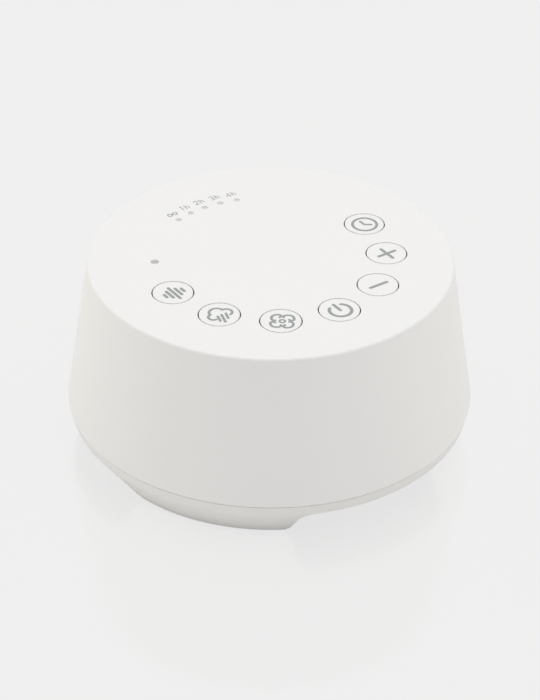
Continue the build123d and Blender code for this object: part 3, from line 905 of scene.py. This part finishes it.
def base_profile():
    """Half section of the base: foot, soft bend, skirt and tongue, from the inside round."""
    foot_angle = atan2(foot_lean, lip_z)
    skirt_angle = atan2(skirt_lean, skirt_z - lip_z)
    reach = bend_round * tan((foot_angle - skirt_angle) / 2)
    bend_centre = (
        lip_radius - reach * sin(foot_angle) - bend_round * cos(foot_angle),
        lip_z - reach * cos(foot_angle) + bend_round * sin(foot_angle),
    )
    turns = (-degrees(foot_angle), -degrees(skirt_angle))
    edge_centre = (skirt_radius - seam_round, skirt_z - seam_round)
    profile = [(foot_inner_radius, lip_z), (foot_inner_radius, foot_z)]
    profile += [(foot_outer(foot_z) - toe_edge, foot_z)]
    profile += [(foot_outer(foot_z + toe_edge), foot_z + toe_edge)]
    profile += arc(bend_centre, bend_round, *turns, bend_steps)
    profile += arc(edge_centre, seam_round, 0, 90, seam_steps)
    profile += [(tongue_radius, skirt_z), (tongue_radius, tongue_z)]
    return profile + [(tongue_inner, tongue_z), (tongue_inner, floor_z)]


def build_base():
    """The floor, skirt and tongue, with three hollow feet that run softly into the skirt."""
    built = bmesh.new()
    loops = lathe(built, (0, 0), base_profile(), big_sides)
    fill_flat(built, [loops[0]], -1)
    fill_flat(built, [loops[-1]], 1)
    carved = carve(built, build_gaps(), build_pockets(), build_floor_cuts())
    carved.normal_update()
    ease_foot_ends(carved)
    for angle in screw_angles:
        profile = [
            (well_radius, floor_z),
            (well_radius + well_wall, floor_z),
            (well_radius + well_wall, boss_bottom),
            (screw_radius + seat_clearance, boss_bottom),
            (screw_radius + seat_clearance, well_seat),
            (well_radius, well_seat),
        ]
        lathe(carved, polar(boss_ring, angle), profile, small_sides, closed=True)
    inner = cut_square(rim_side - 2 * rim_wall)
    wall_round(carved, cut_square(rim_side), inner, floor_z, rim_top)
    for index in range(post_count):
        outline = rectangle(post_side, post_side, post_ring)
        turn = battery_angle + (index + 0.5) * 360 / post_count
        prism(carved, outline, floor_z, rim_top, turn)
    inner = rectangle(cradle_width, cradle_length)
    outer = rectangle(cradle_width + 2 * cradle_wall, cradle_length + 2 * cradle_wall)
    wall_round(carved, outer, inner, floor_z, floor_z + cradle_height, battery_offset)
    for x in (-inlet_post_spacing / 2, inlet_post_spacing / 2):
        outline = rectangle(inlet_post, inlet_post, x, inlet_post_y)
        prism(carved, outline, foot_z + foot_wall / 2, inlet_board_low.z)
    return carved


def in_base_gap(place):
    """Whether a place on the base is above the skirt, inside the seam, where the seam's painted
    light goes.
    """
    above_skirt = place.z > skirt_z - seam_round / 4
    return above_skirt and hypot(place.x, place.y) > tongue_radius - seam_reach


make_piece("base_shell", build_base(), "white_shell", "housing", ["base"], in_base_gap)


# ---- Keys ----
def build_button(centre, angle):
    """A cap with a rounded edge, crossed ribs with lugs, and a post."""
    built = bmesh.new()
    roof = face_z - button_roof
    edge_centre = (button_radius - button_round, face_z - button_round)
    profile = [(button_radius, roof)]
    profile += arc(edge_centre, button_round, 0, 90, button_round_steps)
    loops = lathe(built, (0, 0), profile, opening_sides)
    fill_flat(built, [loops[-1]], 1)
    fill_flat(built, [loops[0]], -1)
    lug_top = collar_z - lug_play
    bottom = lug_top - lug_height
    width = 2 * (button_radius - rib_inset)
    prism(built, rectangle(width, button_rib), bottom, roof)
    prism(built, rectangle(button_rib, width), bottom, roof)
    prism(built, rectangle(2 * (opening_radius + lug_reach), button_rib), bottom, lug_top)
    prism(built, rectangle(post_width, post_width), stem_top, roof)
    turned = Matrix.Rotation(radians(angle), 3, "Z")
    bmesh.ops.rotate(built, verts=built.verts, matrix=turned)
    bmesh.ops.translate(built, verts=built.verts, vec=(*centre, 0))
    return built


def in_cap_gap(place):
    """Whether a place on a cap is below its rounded edge, where the gaps' painted light and shade
    go.
    """
    return place.z < face_z - button_round


for function, centre in zip(functions, button_centres):
    cap = build_button(centre, degrees(atan2(centre[1], centre[0])))
    body = function + "_key"
    make_piece("cap_" + function, cap, "white_keys", body, ["button_" + function], in_cap_gap)


# ---- Light guides ----
def build_peg(built, centre, radius, bottom, top):
    """A round peg with a softened end."""
    edge_centre = (radius - peg_round, top - peg_round)
    profile = [(radius, bottom)] + arc(edge_centre, peg_round, 0, 90, small_round_steps)
    turned_solid(built, centre, profile, small_sides)


timer_guide = bmesh.new()
for centre in window_centres:
    build_peg(timer_guide, centre, window_radius - guide_fit, panel_z, guide_high.z)
bar_size = guide_high - guide_low
bar = rectangle(bar_size.x, bar_size.y, 0, (guide_high.y + guide_low.y) / 2)
prism(timer_guide, bar, guide_low.z, panel_z)
make_piece("timer_pegs", timer_guide, "light_guide", "housing", ["timer_light_guide"])

status_guide = bmesh.new()
build_peg(status_guide, status_centre, status_radius - guide_fit, panel_z, status_high.z)
flange = rectangle(status_flange, status_flange, status_ring)
prism(status_guide, flange, guide_low.z, panel_z, status_angle)
pipe = rectangle(status_pipe, status_pipe, status_ring)
prism(status_guide, pipe, status_low.z, guide_low.z, status_angle)
make_piece("status_peg", status_guide, "light_guide", "housing", ["status_light_guide"])


# ---- Screws ----
def quarter_turns(points):
    """The same points at each of four quarter turns."""
    spins = [Matrix.Rotation(turn * pi / 2, 2) for turn in range(4)]
    return [[tuple(spin @ Vector(point)) for point in points] for spin in spins]


def screw_profile():
    """Half section of a self-tapping screw with a domed head, from the head's middle up."""
    dome = (head_radius**2 + dome_rise**2) / (2 * dome_rise)
    profile = []
    for step in range(1, dome_steps + 1):
        radius = head_radius * step / dome_steps
        profile.append((radius, screws_low.z + dome - sqrt(dome**2 - radius**2)))
    profile += [(head_radius, well_seat), (screw_radius, well_seat)]
    thread_low = well_seat + shank_length
    thread_high = screws_high.z - tip_length
    for turn in range(int((thread_high - thread_low) / thread_pitch)):
        height = thread_low + turn * thread_pitch
        profile.append((screw_radius - thread_depth, height))
        profile.append((screw_radius, height + thread_pitch / 2))
    return profile + [(screw_radius - thread_depth, thread_high), (tip_radius, screws_high.z)]


def build_screws():
    """Three screws, with the cross recesses of their heads cut out."""
    built = bmesh.new()
    crosses = bmesh.new()
    corners = [(slot_half, -slot_reach), (slot_half, -slot_half), (slot_reach, -slot_half)]
    cross = [corner for turned in quarter_turns(corners) for corner in turned]
    for angle in screw_angles:
        x, y = polar(boss_ring, angle)
        turned_solid(built, (x, y), screw_profile(), small_sides)
        outline = [(x + across, y + along) for across, along in cross]
        prism(crosses, outline, screws_low.z - cut_past, screws_low.z + slot_depth)
    return carve(built, crosses)


make_piece("base_screws", build_screws(), "screw_steel", "housing", ["housing_screws"])


# ---- Speaker ----
def build_surround():
    """The rubber ring between the speaker's frame and its diaphragm, in a soft S."""
    built = bmesh.new()
    half_side = pi / speaker_sides
    outer = surround_high.x / cos(half_side)
    inner = diaphragm_high.x / cos(half_side)
    full_rise = surround_high.z - surround_sheet - surround_low.z
    under = []
    for step in range(surround_steps + 1):
        share = step / surround_steps
        rise = full_rise * share * share * (3 - 2 * share)
        under.append((outer + (inner - outer) * share, surround_low.z + rise))
    over = [(radius, height + surround_sheet) for radius, height in reversed(under)]
    lathe(built, (0, 0), under + over, speaker_sides, closed=True)
    turned = Matrix.Rotation(half_side, 3, "Z")
    bmesh.ops.rotate(built, verts=built.verts, matrix=turned)
    return built


surround = make_piece(
    "surround_ring", build_surround(), "surround_rubber", None, ["speaker_surround"]
)
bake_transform(surround)


# ---- Printed marks ----
icon_stroke = 0.8
icon_shifts = [(0.1, 0.0), (0.0, 0.0), (0.21, -0.4), (0.08, -0.45)]
icon_shifts += [(0.1, -0.27), (-0.04, -0.27), (-0.08, -0.27)]
bar_stroke = 0.95
hub_radius = 0.76
hub_sides = 40
hub_stroke = 0.64
power_radius = 3.15
power_top = 3.4
power_stroke = 0.96
sign_reach = 2.85
minus_stroke = 1.05
plus_stroke = 1.0
clock_radius = 3.58
clock_sides = 60
clock_stroke = 0.85
corner_cut = 0.25
corner_rounds = 3

label_stroke = 0.27
label_rise = 2.7
label_shift = 0.15
digit_height = 2.07
letter_start = 1.92
letter_width = 0.92
one_inset = 0.3  # how much nearer its letter the narrow 1 stands
infinity_stroke = 0.36
infinity_reach = 1.52
infinity_height = 2.0
infinity_rise = 0.9
infinity_steps = 72

stroke_end_steps = 8
sharpest_turn = 0.4  # keeps the corner of a stroke from running far out
lobe_steps = 18
digit_steps = 14
inside_only = 1  # delaunay_2d_cdt's choice of what it gives back


def stroke(built, points, width, closed=False):
    """A flat line of even width with round ends, along a list of points."""
    path = [Vector(point) for point in points]
    count = len(path)
    half = width / 2
    pairs = []
    for index, place in enumerate(path):
        before = path[index - 1] if index or closed else None
        after = path[(index + 1) % count] if index < count - 1 or closed else None
        lead = (place - before).normalized() if before is not None else None
        trail = (after - place).normalized() if after is not None else None
        heading = ((lead or trail) + (trail or lead)).normalized()
        spread = half / max(sharpest_turn, heading.dot(trail or lead))
        across = Vector((-heading.y, heading.x)) * spread
        pairs.append((place + across, place - across, heading))
    made = [[built.verts.new((*place, 0)) for place in pair[:2]] for pair in pairs]
    for first, second in zip(made, made[1:] + (made[:1] if closed else [])):
        built.faces.new((first[0], first[1], second[1], second[0]))
    if closed:
        return
    for index, start in ((0, 90), (-1, -90)):
        start += degrees(atan2(pairs[index][2].y, pairs[index][2].x))
        end = arc(path[index], half, start, start + 180, stroke_end_steps)[1:-1]
        sides = made[index] if index else made[index][::-1]
        round_end = [built.verts.new((*place, 0)) for place in end]
        built.faces.new([sides[1]] + round_end + [sides[0]])


def make_mark(name, strokes, centre, body):
    """Printed strokes as a thin film on the top face: each is (points, width, closed)."""
    drawn = bmesh.new()
    for points, width, closed in strokes:
        stroke(drawn, points, width, closed)
    drawn.verts.index_update()
    places = [Vector((vertex.co.x, vertex.co.y)) for vertex in drawn.verts]
    outlines = [[vertex.index for vertex in face.verts] for face in drawn.faces]
    drawn.free()
    points, _, faces, _, _, sources = delaunay_2d_cdt(places, [], outlines, inside_only, weld)
    built = bmesh.new()
    verts = [built.verts.new((*point, 0)) for point in points]
    for corners, source in zip(faces, sources):
        if source:
            built.faces.new([verts[corner] for corner in corners])
    loose = [vertex for vertex in built.verts if not vertex.link_faces]
    bmesh.ops.delete(built, geom=loose, context="VERTS")
    bmesh.ops.dissolve_limit(built, angle_limit=flat_angle, verts=built.verts, edges=built.edges)
    raised = bmesh.ops.extrude_face_region(built, geom=built.faces[:])["geom"]
    lifted = [item for item in raised if isinstance(item, bmesh.types.BMVert)]
    bmesh.ops.translate(built, verts=lifted, vec=(0, 0, top_z - face_z))
    bmesh.ops.translate(built, verts=built.verts, vec=(*centre, face_z))
    make_piece(name, built, "key_ink", body)


def soften(points):
    """Cuts the corners of an open line again and again, with its ends kept."""
    for _ in range(corner_rounds):
        cut = [points[0]]
        for pair in zip(points, points[1:]):
            for (x, y), (other_x, other_y) in (pair, pair[::-1]):
                near = 1 - corner_cut
                cut.append((near * x + corner_cut * other_x, near * y + corner_cut * other_y))
        points = cut + [points[-1]]
    return points


def bars():
    """Five upright bars, as a sound level."""
    spans = [(-2.87, 0.25, -1.3), (-1.45, 1.35, -2.4), (0.0, 2.6, -3.7)]
    spans += [(1.47, 1.35, -2.3), (2.95, 0.45, -1.25)]
    return [([(across, low), (across, high)], bar_stroke, False) for across, high, low in spans]


def cloud():
    """A cloud, open below, with three slanting streaks of rain."""
    outline = arc((-2.18, -0.28), 1.44, 272, 92, lobe_steps)
    outline += arc((-0.12, 1.15), 2.15, 172, 18, 22)
    outline += arc((2.25, -0.2), 1.62, 98, -78, lobe_steps)
    streaks = [
        [(-0.95, -0.65), (-1.68, -3.05)],
        [(0.38, -0.5), (-0.72, -4.15)],
        [(1.78, -0.6), (0.98, -3.0)],
    ]
    return [(points, icon_stroke, False) for points in [outline] + streaks]


def fan():
    """Four curled blades round a hub."""
    blade = [(-1.42, 1.45), (-1.95, 1.72), (-1.9, 2.65), (-1.15, 3.66)]
    blade += [(0.05, 3.9), (1.42, 3.15), (1.2, 2.25), (0.52, 2.0)]
    hub = circle((0, 0), hub_radius, hub_sides)
    blades = [(points, icon_stroke, False) for points in quarter_turns(soften(blade))]
    return [(hub, hub_stroke, True)] + blades


def power():
    """A ring open at the top with an upright stroke."""
    open_ring = arc((0, 0), power_radius, 127, 413, 60)
    return [(points, power_stroke, False) for points in (open_ring, [(0, power_top), (0, 0.0)])]


def minus():
    """One level stroke."""
    return [([(-sign_reach, 0), (sign_reach, 0)], minus_stroke, False)]


def plus():
    """A level and an upright stroke."""
    return minus() + [([(0, -sign_reach), (0, sign_reach)], plus_stroke, False)]


def clock():
    """A clock face with two hands."""
    hands = [(-0.12, 2.05), (-0.12, -0.02), (1.5, -1.2)]
    rim = circle((0, 0), clock_radius, clock_sides)
    return [(rim, clock_stroke, True), (hands, icon_stroke, False)]


icons = [bars(), cloud(), fan(), power(), minus(), plus(), clock()]
for function, strokes, centre, shift in zip(functions, icons, button_centres, icon_shifts):
    place = (centre[0] + shift[0], centre[1] + shift[1])
    make_mark("icon_" + function, strokes, place, function + "_key")

letter_arch = arc((0.46, 0.88), 0.46, 150, 0, 10)
letter_h = [[(0.0, 0.0), (0.0, digit_height)]]
letter_h += [[(0.0, 0.75)] + letter_arch + [(letter_width, 0.0)]]
digits = [
    [[(0.0, 1.7), (0.38, digit_height), (0.38, 0.0)]],
    [arc((0.6, 1.48), 0.59, 170, -35, digit_steps) + [(0.0, 0.0), (1.23, 0.0)]],
    [
        arc((0.57, 1.54), 0.53, 150, -75, digit_steps)
        + arc((0.58, 0.55), 0.57, 75, -150, digit_steps)[1:]
    ],
    [[(0.92, 0.0), (0.92, digit_height), (0.0, 0.6), (1.28, 0.6)]],
]


def infinity():
    """A lying eight."""
    loop = []
    for step in range(infinity_steps):
        angle = 2 * pi * step / infinity_steps
        flat = 1 + sin(angle) ** 2
        across = infinity_reach * cos(angle) / flat
        loop.append((across, infinity_height * sin(angle) * cos(angle) / flat))
    return [(loop, infinity_stroke, True)]


def hours(digit, letter_x):
    """A digit, and the letter h at a distance to its right."""
    letter = [[(x + letter_x, y) for x, y in points] for points in letter_h]
    return [(points, label_stroke, False) for points in digit + letter]


x, y = window_centres[0]
make_mark("label_0", infinity(), (x + label_shift, y + label_rise + infinity_rise), "housing")
for index, (x, y) in enumerate(window_centres[1:]):
    letter_x = letter_start if index else letter_start - one_inset
    place = (x + label_shift - (letter_x + letter_width) / 2, y + label_rise)
    make_mark("label_" + str(index + 1), hours(digits[index], letter_x), place, "housing")


# ---- Table, lamps and camera ----
def table_finish():
    """Glossy white table top that keeps a soft shadow and a faint reflection."""
    material, graph = new_material("glossy_white_table")
    lit = graph.node("ShaderNodeBsdfDiffuse", {"Color": (*table_bounce, 1.0)})
    pale = (table_color, table_color, table_color, 1.0)
    even = graph.node("ShaderNodeEmission", {"Color": pale, "Strength": 1.0})
    gloss = {"Color": (*white, 1.0), "Roughness": table_roughness}
    sheen = graph.node("ShaderNodeBsdfGlossy", gloss)
    seen = graph.node("ShaderNodeMixShader", {0: table_evenness, 1: lit, 2: even})
    polished = graph.node("ShaderNodeMixShader", {0: table_gloss, 1: seen, 2: sheen})
    graph.show(graph.node("ShaderNodeMixShader", {0: graph.ray("Camera"), 1: lit, 2: polished}))
    return material


def make_table():
    """A plain pale table top."""
    built = bmesh.new()
    outline = rectangle(table_side, table_side)
    built.faces.new([built.verts.new((x * MM, y * MM, 0)) for x, y in outline])
    table = mesh_object("table_top", built)
    table.data.materials.append(table_finish())


def make_lamp(name, strength, elevation, azimuth, color):
    """A broad lamp, far off, in the direction given, that no gloss shows."""
    lamp = bpy.data.lights.new(name, "SUN")
    lamp.energy = strength * pi
    lamp.angle = radians(lamp_spread)
    lamp.color = color
    placed = add_object(name, lamp)
    placed.rotation_euler = Euler((radians(90 - elevation), 0, radians(azimuth)))
    placed.visible_glossy = False


def make_world():
    """Even white light all round, brighter where it is seen, mirrored or looked through."""
    world = bpy.data.worlds.new("studio")
    world.use_nodes = True
    graph = Graph(world.node_tree)
    shown = graph.ray("Camera").at_least(graph.ray("Glossy"))
    shown = shown.at_least(graph.ray("Transmission"))
    strength = world_strength + shown * (white_strength - world_strength)
    light = graph.node("ShaderNodeBackground", {"Color": (*white, 1.0), "Strength": strength})
    graph.node("ShaderNodeOutputWorld", {"Surface": light})
    bpy.context.scene.world = world


def make_camera():
    """A long lens that looks down from the left of the front."""
    turn = radians(camera_azimuth)
    lift = radians(camera_elevation)
    behind = Vector((sin(turn) * cos(lift), -cos(turn) * cos(lift), sin(lift)))
    level = Vector((cos(turn), sin(turn), 0))
    right = Matrix.Rotation(radians(camera_roll), 3, behind) @ level
    up = behind.cross(right)
    target = Vector((0, 0, camera_target_z)) + level * camera_target_side
    place = (target + behind * camera_distance) * MM
    data = bpy.data.cameras.new("camera")
    data.lens = camera_lens
    data.sensor_width = camera_sensor
    data.sensor_fit = "AUTO"
    data.clip_start = camera_nearest * MM
    camera = add_object("camera", data)
    turned = Matrix((right, up, behind)).transposed().to_4x4()
    camera.matrix_world = Matrix.Translation(place) @ turned
    bpy.context.scene.camera = camera


make_table()
make_world()
for lamp in lamps:
    make_lamp(*lamp)
make_camera()
bpy.context.scene.view_settings.view_transform = "Standard"
